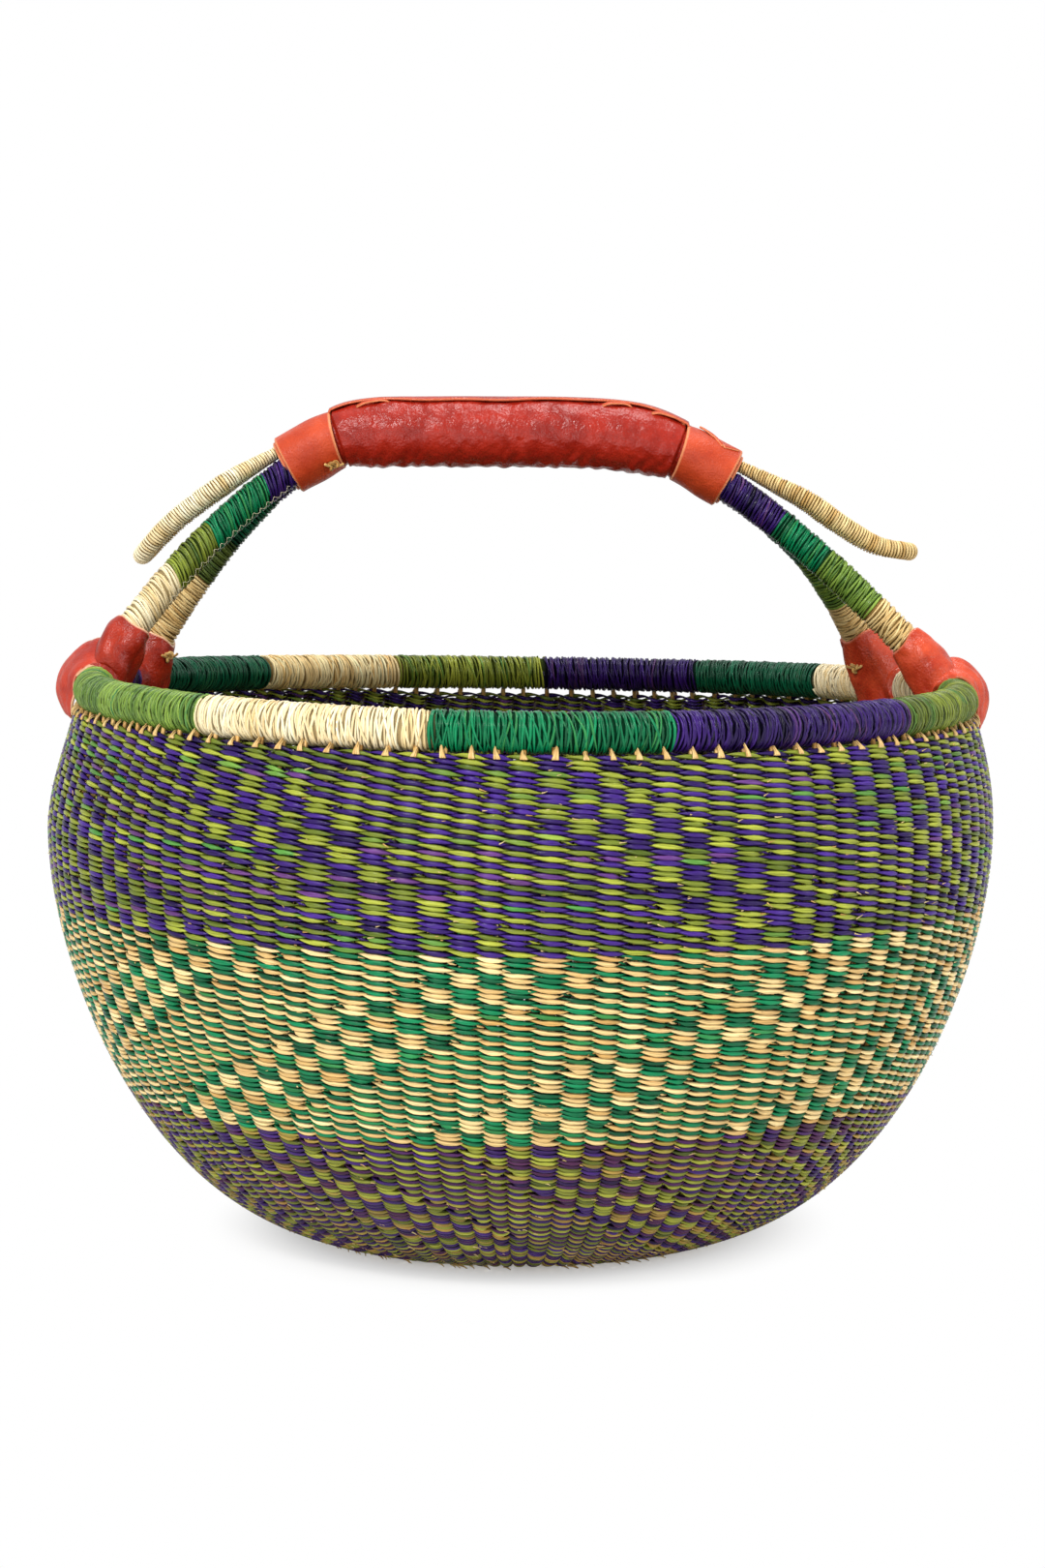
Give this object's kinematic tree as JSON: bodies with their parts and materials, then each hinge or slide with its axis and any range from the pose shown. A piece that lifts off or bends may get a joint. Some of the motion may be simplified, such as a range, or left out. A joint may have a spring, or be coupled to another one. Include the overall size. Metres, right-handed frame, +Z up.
{
  "type": "bolga basket",
  "caption": "Round hand-woven straw market basket with a bound rim, coloured weave bands and a stiff leather-gripped handle on bound straw legs.",
  "frame": {"origin": "on the ground, under the middle of the basket's round belly", "axes": "+Z up, +X to the right along the handle, +Y to the back, where the handle stands behind the middle"},
  "size_m": [0.4189, 0.4188, 0.37],
  "materials": {
    "olive_purple_weave": "twined straw, olive and purple, dull sheen",
    "green_natural_weave": "twined straw, green and natural, dull sheen",
    "natural_straw": "undyed straw, fine streaks",
    "olive_straw": "olive dyed straw",
    "green_straw": "green dyed straw",
    "purple_straw": "purple dyed straw",
    "straw_core": "bundled undyed straw, hidden",
    "grip_leather": "dark red leather, glossy, wrinkled",
    "cuff_leather": "orange-red leather, satin",
    "boot_leather": "red leather, satin"
  },
  "bodies": {
    "root": {"upper_band": "olive_purple_weave", "middle_band": "green_natural_weave", "lower_band_1": "olive_purple_weave", "lower_band_2": "olive_purple_weave", "lower_band_3": "olive_purple_weave", "lower_band_4": "olive_purple_weave", "foot_ring": "natural_straw", "base_panel": "olive_purple_weave", "stake_ring": "natural_straw", "rim_core": "straw_core", "rim_wrap_01_natural": "natural_straw", "rim_wrap_02_green": "green_straw", "rim_wrap_03_purple": "purple_straw", "rim_wrap_04_olive": "olive_straw", "rim_wrap_05_natural": "natural_straw", "rim_wrap_06_green": "green_straw", "rim_wrap_07_purple": "purple_straw", "rim_wrap_08_olive": "olive_straw", "rim_wrap_09_natural": "natural_straw", "rim_wrap_10_green": "green_straw", "rim_wrap_11_purple": "purple_straw", "rim_wrap_12_olive": "olive_straw", "leg_front_left_core": "straw_core", "leg_front_left_wrap_natural": "natural_straw", "leg_front_left_wrap_olive": "olive_straw", "leg_front_left_wrap_green": "green_straw", "leg_front_left_wrap_purple": "purple_straw", "boot_front_left": "boot_leather", "strap_front_left": "boot_leather", "leg_back_left_core": "straw_core", "leg_back_left_wrap_natural": "natural_straw", "leg_back_left_wrap_olive": "olive_straw", "leg_back_left_wrap_green": "green_straw", "leg_back_left_wrap_purple": "purple_straw", "boot_back_left": "boot_leather", "strap_back_left": "boot_leather", "leg_front_right_core": "straw_core", "leg_front_right_wrap_natural": "natural_straw", "leg_front_right_wrap_olive": "olive_straw", "leg_front_right_wrap_green": "green_straw", "leg_front_right_wrap_purple": "purple_straw", "boot_front_right": "boot_leather", "strap_front_right": "boot_leather", "leg_back_right_core": "straw_core", "leg_back_right_wrap_natural": "natural_straw", "leg_back_right_wrap_olive": "olive_straw", "leg_back_right_wrap_green": "green_straw", "leg_back_right_wrap_purple": "purple_straw", "boot_back_right": "boot_leather", "strap_back_right": "boot_leather", "grip_core": "straw_core", "grip_leather": "grip_leather", "grip_lace": "cuff_leather", "cuff_left": "cuff_leather", "cuff_right": "cuff_leather", "ear_left": "natural_straw", "ear_right": "natural_straw", "knot_cuff_left": "natural_straw", "knot_boot_back_left": "natural_straw", "knot_boot_back_right": "natural_straw"}
  },
  "joints": []
}
